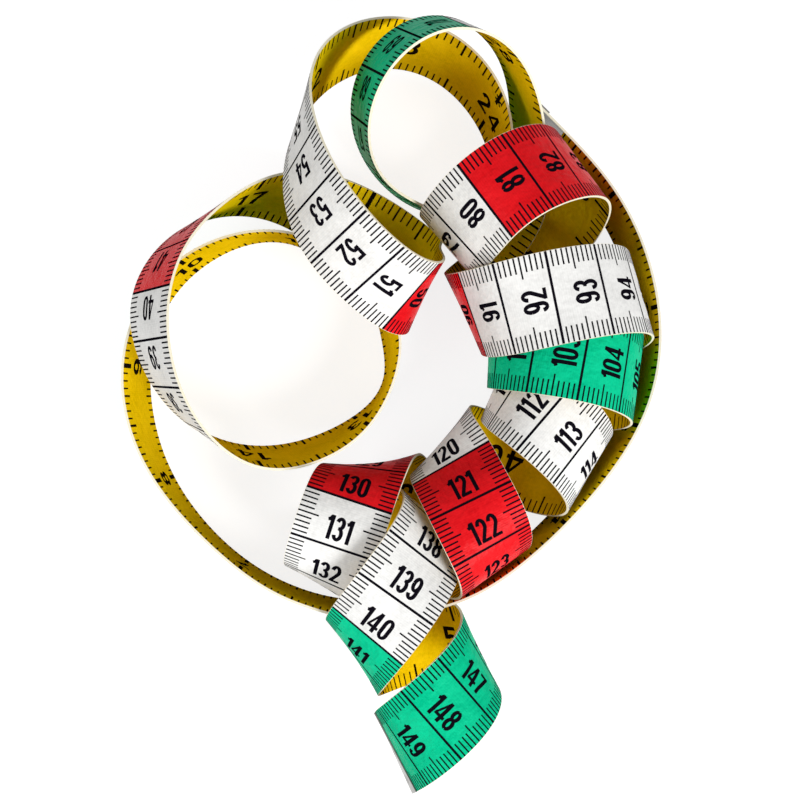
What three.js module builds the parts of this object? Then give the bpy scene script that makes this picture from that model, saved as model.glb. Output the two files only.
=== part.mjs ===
import * as THREE from "three";

// Flexible cloth tape measure, dropped in a loose coil with a ringlet at its free end.
// One strip 1.5 m long lies on a table in millimetres, +Z up. The strip is a woven core
// with a yellow coat on the inch side, ten-centimetre colour bands on the centimetre side
// and a crimped metal tip on each end. It is one unbroken winding: its route is chosen by
// hand, its ringlet is worked out turn by turn, and the strip is then settled so that
// neither edge stretches and no turn touches another.

// The tape
const TAPE_LENGTH = 1500;
const TAPE_WIDTH = 18;
const CORE_THICKNESS = 0.3;
const INCH_COAT = 0.1;
const BAND_COAT = 0.1;
const BAND_LENGTH = 100;

// The metal tips
const TIP_LENGTH = 9;
const TIP_SHEET = 0.3;
const TIP_CLEARANCE = 0.05;

// Clearances: between two turns, and under the coat of a turn that lies on the table
const TURN_CLEARANCE = 0.62;
const COAT_CLEARANCE = 0.3;
const LEAST_GAP = 0.4;

// An edge that stands this near the table is set flat on it.
const EDGE_SEAT = 0.25;
// A rung that leans less than this share from upright stands on its edge.
const STANDING_SHARE = 0.3;

// How finely the strip is drawn and settled
const RUNGS_PER_BAND = 22;
const ROUNDS_COUNT = 900;
const FREE_ROUNDS_COUNT = 200;
const PULL_SHARE = 0.02;
const SMOOTH_SHARE = 0.1;
const PUSH_SHARE = 0.15;
const ROUNDS_PER_REFRESH = 5;
const SAMPLES_PER_WIDTH = 9;
const SAMPLES_PER_RUNG = 2;
const GAP_SAMPLES_PER_WIDTH = 31;
const GAP_SAMPLES_PER_RUNG = 6;
const CELLS_COUNT = 1024;
const CURVE_PIECES_COUNT = 10;
const CONTACT_SHARE = 0.57;
const LEAST_WEIGHT_SHARE = 0.25;
// Turns act on each other within a share of the tape's width, push by no more than another
// share of it, and count as turns when they are a third share apart along the strip.
const REACH_SHARE = 2 / 9;
const LONGEST_PUSH_SHARE = 1 / 12;
const APART_SHARE = 10 / 9;

// The route is written in fifteen-hundredths of the tape's length. Each row is the middle
// line's x and y, the lower edge's height, and the direction from lower to upper edge.
const ROUTE_UNIT_SHARE = 1 / 1500;
const ROUTE = [
  [27.2, 61.6, 0, 0.5, 1, 17.5],
  [33.5, 55.8, 0, 0.8, 0.8, 17.5],
  [42, 47, 0, 1, 0.6, 17.5],
  [48.3, 37.5, 0, 1, 0.6, 17.5],
  [52.3, 25.8, 0, 1, 0.3, 17.5],
  [54.3, 14.5, 0, 1, 0, 17.5],
  [52.8, 2.3, 0, 1, -0.3, 17.5],
  [47.7, -9.4, 0, 1, -0.5, 17.5],
  [38.8, -21, 0, 0.5, -0.5, 17.5],
  [28.5, -31.7, 0, 0.3, -0.5, 17.5],
  [17.5, -39.7, 0, 0, -0.5, 17.5],
  [6, -44.4, 0, 0, -0.5, 17.5],
  [-6, -45.8, 0, 0, -0.3, 17.5],
  [-18, -44.2, 0, 0.3, 0, 17.5],
  [-29, -39.7, 0, 0.8, 1, 17.5],
  [-39, -32, 0, 1.3, 1.4, 17.5],
  [-47.5, -22.8, 0, 0.8, 0.6, 17.5],
  [-54, -12.5, 0, -0.5, 0, 17.5],
  [-57, -1, 0, -1.8, 0, 17.5],
  [-57.4, 10.5, 0, -1.8, 0, 17.5],
  [-53.5, 21.5, 0, -1, 0, 17.5],
  [-45, 30.7, 0, -0.3, 0.3, 17.5],
  [-34, 35.2, 0, 0.1, -0.8, 17.5],
  [-23, 36, 0, 0.5, -0.5, 17.5],
  [-14, 31.7, 0, 1, 0, 17.5],
  [-6.9, 24.9, 0, 2, 0, 17.5],
  [-2.2, 16.2, 0.1, 2.2, -0.1, 17.5],
  [-0.6, 6.4, 0.1, 2.4, -0.5, 17.5],
  [-4.8, -2, 0.1, 2.5, -2, 17.5],
  [-12.5, -8, 0.6, 3.5, -3, 17.5],
  [-22, -12.4, 2.8, 2.5, -4, 17.3],
  [-32, -12.4, 6.6, 2, -1.5, 17.5],
  [-41, -7.5, 12.4, 5, 0, 17],
  [-47.1, 1.5, 16.8, 8.3, -0.2, 16],
  [-50, 12, 19.2, 10, 0.3, 15.5],
  [-50, 22.3, 19.1, 10, -1, 15],
  [-46.5, 32.7, 15.1, 7.5, -3.5, 15.5],
  [-39.8, 39.8, 8.3, 3.1, -3, 17],
  [-31.5, 43.3, 3.8, 7.7, 5.4, 15.5],
  [-21.5, 44.5, 1.7, 7, 10, 12],
  [-10.6, 39.4, 0.2, 7.2, 14, 8],
  [-0.4, 34.4, 0.4, 8.4, 15.3, 4],
  [6.2, 27, 4.5, 9.5, 15, 3],
  [8, 20.8, 13.4, 11.5, 12.5, 4],
  [5.2, 18.7, 19.5, 12.1, 11.3, 7],
  [-2, 20.8, 26, 12.9, 9.5, 8],
  [-10, 28, 29.1, 12.3, 8, 10],
  [-16, 37.5, 27.9, 10.5, 7, 13],
  [-20, 48.3, 23.5, 8.5, 5.5, 15],
  [-20.8, 58, 16.5, 4.5, 4, 16.8],
  [-17.2, 67.5, 9, 5, 4.8, 16.5],
  [-9.3, 75.1, 5, 5, 4.5, 16.7],
  [1.2, 77.2, 2.8, 5.6, 4, 16.7],
  [11, 73.7, 1.2, 6, 3.4, 16.6],
  [18.6, 65.8, 0.6, 6, 2, 16.8],
  [22.3, 55, 1.8, 5, -1, 17],
  [21.2, 43.4, 3.8, 4.3, -3.5, 17],
  [11.4, 37.2, 4.8, 3.8, -4, 17],
  [1.2, 40.6, 7.4, 4.2, -4.8, 16.8],
  [-5.9, 46.9, 12.6, 5, -6.4, 16.2],
  [-9.2, 56.2, 18.2, 5.4, -7.4, 15.5],
  [-5.3, 66.3, 21.8, 5.4, -7.6, 15.4],
  [2.8, 73.6, 22.8, 5.4, -7.8, 15.3],
  [12.6, 75.6, 20.6, 5.2, -7.8, 15.4],
  [21.9, 72.2, 15.4, 5.2, -7.2, 15.6],
  [26.6, 63, 8.9, 5.5, -7, 15.5],
  [27.4, 51.8, 4.2, 8.5, -8.5, 13],
  [25.8, 43, 1.2, 11.5, -11.5, 7],
  [20, 36.2, 0.9, 12.5, -12.5, 0.6],
];

// The ringlet, one row for every half turn, in the same units: centre x and y, top and
// bottom height, half width, and the heading in degrees along which the strip crosses the
// top. Even rows are tops, odd rows are bottoms.
const HALF_TURNS = [
  [18.5, 37.5, 36.5, 0.6, 16.5, 50],
  [22.4, 40.4, 36.5, 1.5, 14.2, 43],
  [19.5, 41.3, 37.8, 0.6, 17.6, 36],
  [27.4, 31, 37.4, 0.6, 17.8, 28],
  [31.7, 20, 37, 0.6, 18.2, 20],
  [34.8, 14.2, 35.5, 0.6, 14.8, 8.5],
  [33.6, 9.4, 33.8, 2, 16, -4.5],
  [32.8, 2.6, 32, 2.3, 15.2, -16.5],
  [30.6, -4.8, 30.4, 2.4, 14.2, -28.5],
  [23, -13.5, 29.5, 1.6, 13.2, -38],
  [15.8, -23.4, 28.8, 0.6, 16, -49],
  [4.3, -26, 28.4, 0.6, 11, -70],
  [-11.8, -24.2, 27.8, 1.6, 13.3, -104],
  [-5.8, -31.5, 29, 4.4, 13.4, -124],
  [-1.6, -39.5, 31.2, 1.8, 15.2, -139],
  [4.4, -53.4, 28.4, 1.2, 11, -151],
  [8, -63, 26.6, 0.6, 13.2, -154],
  [13.5, -74, 27.3, 0.6, 13, -148],
  [17, -85, 27.3, 0.6, 13, -148],
];
const RINGLET_START_TURN = 7 / 12;
const POINTS_PER_TURN = 12;

// Which stretch passes over, inside, outside or beside which. The four numbers are places
// along the strip in tens of the same units: from and to of the first, from and to of the
// other. The direction tells where the first lies from the other.
const OVER = [0, 0, 1];
const BESIDE_SHARES = [0.95, 0, 0.3];
const CROSSINGS = [
  [37.5, 41.5, 21, 26, OVER],
  [49, 54.5, 27, 31.5, OVER],
  [62, 65.5, 45, 47.6, OVER],
  [74.5, 78, 45.5, 47.8, OVER],
  [76.5, 79.5, 47.8, 50.6, "outside"],
  [88, 91, 48, 50.5, "outside"],
  [67.5, 70.5, 57.5, 60.2, OVER],
  [97, 102, 86, 91, "inside"],
  [98, 101.5, 75, 78, "inside"],
  [107.5, 112, 97, 102, "inside"],
  [127, 130.4, 32, 35.4, "outside"],
  [71.5, 75, 80.5, 85, "inside"],
  [76, 79.5, 63, 66.5, "outside"],
  [62, 65.5, 74.5, 76, OVER],
  [139.5, 146, 12, 17, "outside"],
  [137.5, 139.5, 121, 123.4, "inside"],
  [133, 138.5, 123.5, 128.5, OVER],
  [136.5, 137.6, 129.4, 131, BESIDE_SHARES],
  [137.6, 140.3, 129.3, 132, OVER],
];

const UNIT = TAPE_LENGTH * ROUTE_UNIT_SHARE;
const RUNG_STEP = BAND_LENGTH / RUNGS_PER_BAND;
const RUNGS = Math.round(TAPE_LENGTH / RUNG_STEP) + 1;
const TURNS_APART = (APART_SHARE * TAPE_WIDTH) / RUNG_STEP;
const THICKNESS = CORE_THICKNESS + INCH_COAT + BAND_COAT;
const TURN_DISTANCE = THICKNESS + TURN_CLEARANCE;
const HALF_CORE = CORE_THICKNESS / 2;

const COLOURS = {
  cloth: 0xf0e7cf,
  yellow: 0xefbe12,
  red: 0xdf2430,
  white: 0xe9e8e3,
  green: 0x12b184,
  metal: 0xc3c6c9,
};
const BAND_COLOURS = ["red", "white", "green", "white"];

const radians = (degrees) => (degrees * Math.PI) / 180;
const mix = (a, b, t) => a.map((value, k) => value * (1 - t) + b[k] * t);
const minus = (a, b) => [a[0] - b[0], a[1] - b[1], a[2] - b[2]];
const dot = (a, b) => a[0] * b[0] + a[1] * b[1] + a[2] * b[2];
const cross = (a, b) => [a[1] * b[2] - a[2] * b[1], a[2] * b[0] - a[0] * b[2], a[0] * b[1] - a[1] * b[0]];
const unit = (a) => {
  const size = Math.hypot(a[0], a[1], a[2]);
  return [a[0] / size, a[1] / size, a[2] / size];
};
const moved = (a, direction, length) => a.map((value, k) => value + direction[k] * length);

// A row of the ringlet at any half turn: smooth between rows, straight on past the last.
function halfTurn(position) {
  const last = HALF_TURNS.length - 1;
  if (position > last) {
    const step = HALF_TURNS[last].map((value, k) => value - HALF_TURNS[last - 1][k]);
    return HALF_TURNS[last].map((value, k) => value + step[k] * (position - last));
  }
  const i = Math.max(0, Math.min(last - 1, Math.floor(position)));
  const t = position - i;
  const b = HALF_TURNS[i];
  const c = HALF_TURNS[i + 1];
  const a = i > 0 ? HALF_TURNS[i - 1] : b.map((value, k) => 2 * value - c[k]);
  const d = i + 2 <= last ? HALF_TURNS[i + 2] : c.map((value, k) => 2 * value - b[k]);
  return b.map((value, k) => {
    const first = (c[k] - a[k]) * t;
    const second = (2 * a[k] - 5 * value + 4 * c[k] - d[k]) * t * t;
    const third = (3 * value - a[k] - 3 * c[k] + d[k]) * t * t * t;
    return 0.5 * (2 * value + first + second + third);
  });
}

// One point of the ringlet. The heading turns only where the strip stands upright, where a
// strip can turn without stretching an edge, and the strip leans a little as it turns.
function ringletPoint(turn) {
  const [x, y, top, bottom, half] = halfTurn(2 * turn);
  const angle = 2 * Math.PI * turn;
  const eased = turn - Math.sin(2 * angle) / (4 * Math.PI);
  const heading = radians(halfTurn(2 * eased)[5]);
  const span = 0.05;
  const rate = radians((halfTurn(2 * (turn + span))[5] - halfTurn(2 * (turn - span))[5]) / (2 * span));
  const grow = 3 / (2 + Math.cos((2 * Math.PI) / POINTS_PER_TURN));
  const lean = (rate / (2 * Math.PI)) * (Math.sin(angle) ** 2 - 0.5);
  const across = [Math.sin(heading) * Math.cos(lean), -Math.cos(heading) * Math.cos(lean), Math.sin(lean)];
  return [
    x + grow * half * Math.sin(angle) * Math.cos(heading),
    y + grow * half * Math.sin(angle) * Math.sin(heading),
    (top + bottom) / 2 + grow * ((top - bottom) / 2) * Math.cos(angle),
    ...across,
  ];
}

// The guess of the strip: a smooth curve through the route and the ringlet, cut into rungs.
function guess() {
  const control = ROUTE.map(([x, y, low, ...lean]) => {
    const across = unit(lean);
    return [x, y, low + (across[2] * TAPE_WIDTH) / (2 * UNIT), ...across];
  });
  const path = [];
  let reached = 0;
  let k = Math.round(RINGLET_START_TURN * POINTS_PER_TURN);
  const wanted = TAPE_LENGTH / UNIT;
  const before = control[0].map((value, j) => 2 * value - control[1][j]);
  const rows = [before, ...control];
  for (let i = 0; reached <= wanted; i += 1) {
    while (rows.length < i + 4) {
      rows.push(ringletPoint(k / POINTS_PER_TURN));
      k += 1;
    }
    for (let piece = 0; piece < CURVE_PIECES_COUNT; piece += 1) {
      const t = piece / CURVE_PIECES_COUNT;
      const weights = [(1 - t) ** 3, 3 * t ** 3 - 6 * t * t + 4, -3 * t ** 3 + 3 * t * t + 3 * t + 1, t ** 3];
      const place = rows[i].map((_, j) => weights.reduce((sum, w, n) => sum + (w / 6) * rows[i + n][j], 0));
      if (path.length > 0) {
        const last = path[path.length - 1];
        reached += Math.hypot(place[0] - last[0], place[1] - last[1], place[2] - last[2]);
      }
      path.push([...place, reached]);
    }
  }
  const rungs = [];
  let at = 0;
  for (let n = 0; n < RUNGS; n += 1) {
    const along = (n * RUNG_STEP) / UNIT;
    while (at < path.length - 2 && path[at + 1][6] < along) {
      at += 1;
    }
    const t = (along - path[at][6]) / (path[at + 1][6] - path[at][6]);
    const row = mix(path[at], path[at + 1], t);
    const tangent = unit(minus(path[at + 1], path[at]));
    const lean = row.slice(3, 6);
    const across = unit(moved(lean, tangent, -dot(lean, tangent)));
    const middle = row.slice(0, 3).map((value) => value * UNIT);
    rungs.push([moved(middle, across, TAPE_WIDTH / 2), moved(middle, across, -TAPE_WIDTH / 2)]);
  }
  return rungs;
}

// The face normal at a rung, pointing to the yellow inch side.
function rungNormal(rungs, n) {
  const before = rungs[Math.max(0, n - 1)];
  const after = rungs[Math.min(rungs.length - 1, n + 1)];
  const tangent = minus(mix(after[0], after[1], 0.5), mix(before[0], before[1], 0.5));
  return unit(cross(tangent, minus(rungs[n][0], rungs[n][1])));
}

// Sample points of the strip's middle surface, with their rung, shares, place and normal.
function samplesOf(rungs, perRung, perWidth) {
  const samples = [];
  const count = (rungs.length - 1) * perRung + 1;
  for (let k = 0; k < count; k += 1) {
    const rung = Math.min(rungs.length - 2, Math.floor(k / perRung));
    const t = k / perRung - rung;
    for (let m = 0; m < perWidth; m += 1) {
      samples.push({ rung, t, v: m / (perWidth - 1), along: rung + t });
    }
  }
  placeSamples(rungs, samples, rungs.map((_, n) => rungNormal(rungs, n)));
  return samples;
}

function placeSamples(rungs, samples, normals) {
  for (const sample of samples) {
    const [a0, b0] = rungs[sample.rung];
    const [a1, b1] = rungs[sample.rung + 1];
    const { rung, t, v } = sample;
    sample.place = mix(mix(b0, a0, v), mix(b1, a1, v), t);
    sample.normal = unit(mix(normals[rung], normals[rung + 1], t));
  }
}

// Pairs of samples that are near in space and not neighbours along the strip.
function nearPairs(samples, reach, apart) {
  const cells = new Map();
  const key = (x, y, z) => (x * CELLS_COUNT + y) * CELLS_COUNT + z;
  const cellOf = (sample) => sample.place.map((value) => Math.floor(value / reach));
  samples.forEach((sample, n) => {
    const name = key(...cellOf(sample));
    if (!cells.has(name)) {
      cells.set(name, []);
    }
    cells.get(name).push(n);
  });
  const pairs = [];
  samples.forEach((sample, n) => {
    const [x, y, z] = cellOf(sample);
    for (let i = -1; i <= 1; i += 1) {
      for (let j = -1; j <= 1; j += 1) {
        for (let k = -1; k <= 1; k += 1) {
          for (const other of cells.get(key(x + i, y + j, z + k)) ?? []) {
            if (other > n && samples[other].along - sample.along > apart) {
              const gap = minus(sample.place, samples[other].place);
              if (dot(gap, gap) < reach * reach) {
                pairs.push([n, other]);
              }
            }
          }
        }
      }
    }
  });
  return pairs;
}

// The crossing that a pair belongs to, with its first stretch named first.
function crossingOf(samples, a, b) {
  const scale = RUNG_STEP / UNIT / 10;
  const first = samples[a].along * scale;
  const second = samples[b].along * scale;
  for (const [from, to, otherFrom, otherTo, direction] of CROSSINGS) {
    if (first >= from && first <= to && second >= otherFrom && second <= otherTo) {
      return [a, b, direction];
    }
    if (second >= from && second <= to && first >= otherFrom && first <= otherTo) {
      return [b, a, direction];
    }
  }
  return null;
}

// The strip settles: each cell keeps its length, width and diagonals, turns keep their
// distance on the chosen side, and nothing goes below the table.
function settle(start) {
  const rungs = start.map((rung) => rung.map((place) => [...place]));
  const count = rungs.length;
  const diagonal = Math.hypot(TAPE_WIDTH, RUNG_STEP);
  const samples = samplesOf(rungs, SAMPLES_PER_RUNG, SAMPLES_PER_WIDTH);
  const sampleStep = RUNG_STEP / SAMPLES_PER_RUNG;
  const beside = CONTACT_SHARE * Math.hypot(sampleStep, TAPE_WIDTH / (SAMPLES_PER_WIDTH - 1));
  const reach = REACH_SHARE * TAPE_WIDTH;
  const shift = rungs.map(() => [[0, 0, 0, 0], [0, 0, 0, 0]]);
  const clear = () => shift.forEach((pair) => pair.forEach((row) => row.fill(0)));
  let pairs = [];
  let normals = [];
  const add = (n, side, vector, share, weight) => {
    const row = shift[n][side];
    row[0] += vector[0] * share;
    row[1] += vector[1] * share;
    row[2] += vector[2] * share;
    row[3] += weight;
  };
  const hold = (i, si, j, sj, length) => {
    const line = minus(rungs[j][sj], rungs[i][si]);
    const size = Math.hypot(...line);
    const share = (0.5 * (size - length)) / size;
    add(i, si, line, share, 1);
    add(j, sj, line, -share, 1);
  };
  const apply = (least) => {
    for (let n = 0; n < count; n += 1) {
      for (let side = 0; side < 2; side += 1) {
        const row = shift[n][side];
        if (row[3] > 0) {
          const share = 1 / Math.max(row[3], least);
          for (let k = 0; k < 3; k += 1) {
            rungs[n][side][k] += row[k] * share;
          }
        }
      }
    }
  };
  for (let round = 0; round < ROUNDS_COUNT; round += 1) {
    clear();
    for (let n = 0; n < count; n += 1) {
      hold(n, 0, n, 1, TAPE_WIDTH);
      if (n + 1 < count) {
        hold(n, 0, n + 1, 0, RUNG_STEP);
        hold(n, 1, n + 1, 1, RUNG_STEP);
        hold(n, 0, n + 1, 1, diagonal);
        hold(n, 1, n + 1, 0, diagonal);
      }
    }
    apply(1);
    if (round < ROUNDS_COUNT - FREE_ROUNDS_COUNT) {
      for (let n = 0; n < count; n += 1) {
        for (let side = 0; side < 2; side += 1) {
          rungs[n][side] = mix(rungs[n][side], start[n][side], PULL_SHARE);
        }
      }
    }
    const at = (n, side, k) => {
      if (n < 0) {
        return 2 * rungs[0][side][k] - rungs[-n][side][k];
      }
      const last = count - 1;
      return n > last ? 2 * rungs[last][side][k] - rungs[2 * last - n][side][k] : rungs[n][side][k];
    };
    const bends = rungs.map((rung, n) => rung.map((place, side) => place.map((value, k) => {
      const far = at(n - 2, side, k) + at(n + 2, side, k);
      const near = at(n - 1, side, k) + at(n + 1, side, k);
      return (4 * near - far - 6 * value) / 16;
    })));
    bends.forEach((bend, n) => {
      for (let side = 0; side < 2; side += 1) {
        rungs[n][side] = moved(rungs[n][side], bend[side], SMOOTH_SHARE);
      }
    });
    normals = rungs.map((_, n) => rungNormal(rungs, n));
    placeSamples(rungs, samples, normals);
    if (round % ROUNDS_PER_REFRESH === 0) {
      pairs = nearPairs(samples, reach, TURNS_APART).map(([a, b]) => crossingOf(samples, a, b) ?? [a, b, null]);
    }
    clear();
    for (const [a, b, direction] of pairs) {
      const line = minus(samples[a].place, samples[b].place);
      const size2 = dot(line, line);
      const near = TURN_DISTANCE;
      let way;
      let far;
      if (direction === null) {
        if (size2 > near * near + beside * beside) {
          continue;
        }
        const other = samples[a].normal;
        const facing = Math.sign(dot(other, samples[b].normal)) || 1;
        way = unit(moved(samples[b].normal, other, facing));
        far = dot(line, way);
        if (far < 0) {
          way = way.map((value) => -value);
          far = -far;
        }
      } else {
        if (direction === "inside") {
          way = samples[b].normal;
        } else if (direction === "outside") {
          way = samples[b].normal.map((value) => -value);
        } else {
          way = direction;
        }
        far = dot(line, way);
      }
      if (far >= near || size2 - far * far > beside * beside) {
        continue;
      }
      const push = PUSH_SHARE * Math.min(near - far, LONGEST_PUSH_SHARE * TAPE_WIDTH);
      for (const [who, sign] of [[samples[a], 1], [samples[b], -1]]) {
        for (const [offset, side] of [[0, 0], [0, 1], [1, 0], [1, 1]]) {
          const weight = (offset ? who.t : 1 - who.t) * (side ? 1 - who.v : who.v);
          if (weight > 0) {
            add(who.rung + offset, side, way, sign * push * weight, weight);
          }
        }
      }
    }
    apply(LEAST_WEIGHT_SHARE);
    for (let n = 0; n < count; n += 1) {
      const lying = Math.max(0, Math.abs(normals[n][2]) - STANDING_SHARE) / (1 - STANDING_SHARE);
      const floor = lying * (THICKNESS / 2 + COAT_CLEARANCE);
      for (let side = 0; side < 2; side += 1) {
        rungs[n][side][2] = Math.max(rungs[n][side][2], floor);
      }
    }
  }
  return rungs;
}

// The least gap between two stretches of the settled strip, measured on its sample points:
// to the nearest point of the other stretch's middle surface, less one thickness.
function leastGap(rungs) {
  const samples = samplesOf(rungs, GAP_SAMPLES_PER_RUNG, GAP_SAMPLES_PER_WIDTH);
  const reach = 2 * TURN_DISTANCE;
  let least = reach;
  let at = [0, 0];
  for (const [a, b] of nearPairs(samples, reach, TURNS_APART)) {
    const size = Math.hypot(...minus(samples[a].place, samples[b].place));
    if (size < least) {
      least = size;
      at = [samples[a].along, samples[b].along];
    }
  }
  return [least - THICKNESS, at];
}

const seated = (point) => [point[0], point[1], point[2] < EDGE_SEAT ? 0 : point[2]];

// Rails of the strip at a height from its middle surface, on the yellow side if positive.
function railsAt(rungs, height) {
  return rungs.map((rung, n) => {
    const before = rungs[Math.max(0, n - 1)];
    const after = rungs[Math.min(rungs.length - 1, n + 1)];
    const across = minus(rung[0], rung[1]);
    return rung.map((place, side) => {
      const normal = unit(cross(minus(after[side], before[side]), across));
      return seated(moved(place, normal, height));
    });
  });
}

function meshOf(name, positions, triangles, material) {
  const flat = new Float64Array(triangles.length * 9);
  let volume = 0;
  triangles.forEach((triangle, n) => {
    const corners = triangle.map((index) => positions[index]);
    volume += dot(corners[0], cross(corners[1], corners[2]));
    corners.forEach((corner, k) => flat.set(corner, n * 9 + k * 3));
  });
  if (volume < 0) {
    for (let n = 0; n < triangles.length; n += 1) {
      for (let k = 0; k < 3; k += 1) {
        const held = flat[n * 9 + 3 + k];
        flat[n * 9 + 3 + k] = flat[n * 9 + 6 + k];
        flat[n * 9 + 6 + k] = held;
      }
    }
  }
  const geometry = new THREE.BufferGeometry();
  geometry.setAttribute("position", new THREE.BufferAttribute(flat, 3));
  geometry.computeVertexNormals();
  const mesh = new THREE.Mesh(geometry, material);
  mesh.name = name;
  return mesh;
}

// A layer of the strip between two sets of rails, from one rung to another.
function layer(name, lower, upper, from, to, material) {
  const positions = [];
  for (let n = from; n <= to; n += 1) {
    positions.push(lower[n][0], lower[n][1], upper[n][0], upper[n][1]);
  }
  const triangles = [];
  const quad = (a, b, c, d) => triangles.push([a, b, c], [a, c, d]);
  const last = to - from;
  for (let n = 0; n < last; n += 1) {
    const i = 4 * n;
    const j = i + 4;
    triangles.push([i, i + 1, j + 1], [i, j + 1, j]);
    triangles.push([i + 2, j + 3, i + 3], [i + 2, j + 2, j + 3]);
    quad(i, j, j + 2, i + 2);
    quad(i + 1, i + 3, j + 3, j + 1);
  }
  quad(...[0, 2, 3, 1]);
  quad(...[0, 1, 3, 2].map((k) => 4 * last + k));
  return meshOf(name, positions, triangles, material);
}

// A crimped tip: a sheet folded round the strip's end, drawn as its outline on each edge.
// Its sheets are split along the same diagonals as the strip's layers.
function tip(name, inside, outside, end, inward, material) {
  const steps = TIP_LENGTH / RUNG_STEP;
  const count = Math.max(1, Math.ceil(steps));
  const beyond = (rails, side, length) => {
    const line = unit(minus(rails[end][side], rails[end + inward][side]));
    return seated(moved(rails[end][side], line, length));
  };
  const at = (rails, k, side) => {
    if (k === 0) {
      return beyond(rails, side, TIP_CLEARANCE);
    }
    const from = Math.min(Math.floor(Math.min(k, steps)), count - 1);
    const here = rails[end + from * inward][side];
    const next = rails[end + (from + 1) * inward][side];
    return seated(mix(here, next, Math.min(k, steps) - from));
  };
  const places = Array.from({ length: count + 1 }, (_, k) => k);
  const backward = places.slice().reverse();
  const outline = (side) => [
    ...backward.map((k) => at(outside[0], k, side)),
    beyond(outside[0], side, TIP_CLEARANCE + TIP_SHEET),
    beyond(outside[1], side, TIP_CLEARANCE + TIP_SHEET),
    ...places.map((k) => at(outside[1], k, side)),
    ...backward.map((k) => at(inside[1], k, side)),
    ...places.map((k) => at(inside[0], k, side)),
  ];
  const rim = [outline(0), outline(1)];
  const marks = [...backward, 0, 0, ...places, ...backward, ...places];
  const size = rim[0].length;
  const positions = [...rim[0], ...rim[1]];
  const triangles = [];
  for (let n = 0; n < size; n += 1) {
    const next = (n + 1) % size;
    if ((marks[next] - marks[n]) * inward < 0) {
      triangles.push([n, next, size + n], [next, size + next, size + n]);
    } else {
      triangles.push([n, next, size + next], [n, size + next, size + n]);
    }
  }
  const [firstSheet, secondSheet] = [count, count + 3];
  const outer0 = (k) => firstSheet - k;
  const outer1 = (k) => secondSheet + k;
  const inner1 = (k) => secondSheet + 2 * count + 1 - k;
  const inner0 = (k) => secondSheet + 2 * count + 2 + k;
  const flatQuad = (a, b, c, d) => {
    triangles.push([a, c, b], [a, d, c]);
    triangles.push([size + a, size + b, size + c], [size + a, size + c, size + d]);
  };
  for (let k = 0; k < count; k += 1) {
    flatQuad(outer0(k + 1), outer0(k), inner0(k), inner0(k + 1));
    flatQuad(outer1(k), outer1(k + 1), inner1(k + 1), inner1(k));
  }
  const bridge = [outer0(0), count + 1, count + 2, outer1(0), inner1(0), inner0(0)];
  for (const [a, b, c] of [[0, 1, 5], [1, 2, 5], [5, 2, 4], [2, 3, 4]]) {
    triangles.push([bridge[a], bridge[c], bridge[b]]);
    triangles.push([size + bridge[a], size + bridge[b], size + bridge[c]]);
  }
  return meshOf(name, positions, triangles, material);
}

const cloth = (name) => new THREE.MeshStandardMaterial({ color: COLOURS[name], roughness: 0.55, name });
const materials = Object.fromEntries(["cloth", "yellow", "red", "white", "green"].map((name) => [name, cloth(name)]));
materials.metal = new THREE.MeshStandardMaterial({ color: COLOURS.metal, roughness: 0.35, metalness: 1, name: "metal" });

const strip = settle(guess());
const [gap, places] = leastGap(strip);
console.log(`least gap of the strip to itself ${gap.toFixed(2)} mm, wanted over ${LEAST_GAP}`
  + `, at ${places.map((n) => ((n * RUNG_STEP) / 10).toFixed(1)).join(" and ")} cm`);

const coreLow = railsAt(strip, -HALF_CORE);
const coreHigh = railsAt(strip, HALF_CORE);
const bandFace = railsAt(strip, -HALF_CORE - BAND_COAT);
const inchFace = railsAt(strip, HALF_CORE + INCH_COAT);
const tipInside = [HALF_CORE + INCH_COAT + TIP_CLEARANCE, -HALF_CORE - BAND_COAT - TIP_CLEARANCE];
const tipOutside = [tipInside[0] + TIP_SHEET, tipInside[1] - TIP_SHEET];
const tipRails = [tipInside, tipOutside].map((pair) => pair.map((height) => railsAt(strip, height)));
const lastRung = strip.length - 1;

const tape = new THREE.Group();
tape.name = "tape_measure";
tape.add(layer("cloth_core", coreLow, coreHigh, 0, lastRung, materials.cloth));
tape.add(layer("inch_coat", coreHigh, inchFace, 0, lastRung, materials.yellow));
for (let from = 0, band = 0; from < lastRung; from += RUNGS_PER_BAND, band += 1) {
  const colour = BAND_COLOURS[band % BAND_COLOURS.length];
  const name = `band_${String(band * 10).padStart(3, "0")}_${colour}`;
  const to = Math.min(lastRung, from + RUNGS_PER_BAND);
  tape.add(layer(name, bandFace, coreLow, from, to, materials[colour]));
}
tape.add(tip("zero_tip", ...tipRails, 0, 1, materials.metal));
tape.add(tip("end_tip", ...tipRails, lastRung, -1, materials.metal));

// The origin is the middle of the coil's footprint on the table.
const box = new THREE.Box3().setFromObject(tape);
const middle = box.getCenter(new THREE.Vector3());
for (const mesh of tape.children) {
  mesh.geometry.translate(-middle.x, -middle.y, -box.min.z);
}
console.log(`size ${box.getSize(new THREE.Vector3()).toArray().map((value) => value.toFixed(1)).join(" x ")} mm`
  + `, middle at ${middle.x.toFixed(2)}, ${middle.y.toFixed(2)}, lowest ${box.min.z.toFixed(3)}`);

export default tape;
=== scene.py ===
"""Cloth tape measure in a loose coil: a printed strip with two crimped metal tips.

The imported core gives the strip's place. Everything on it, the coats, the printed scales
and the tips, is drawn flat along the tape first and then laid on the strip. Sizes are in
millimetres, apart from those of the lamps, the floor and the camera's clipping, in metres.
"""

import logging
import math
from dataclasses import dataclass, field
from enum import Enum

import bmesh
import bpy
import numpy as np
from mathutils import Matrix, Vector
from mathutils.geometry import delaunay_2d_cdt


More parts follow.
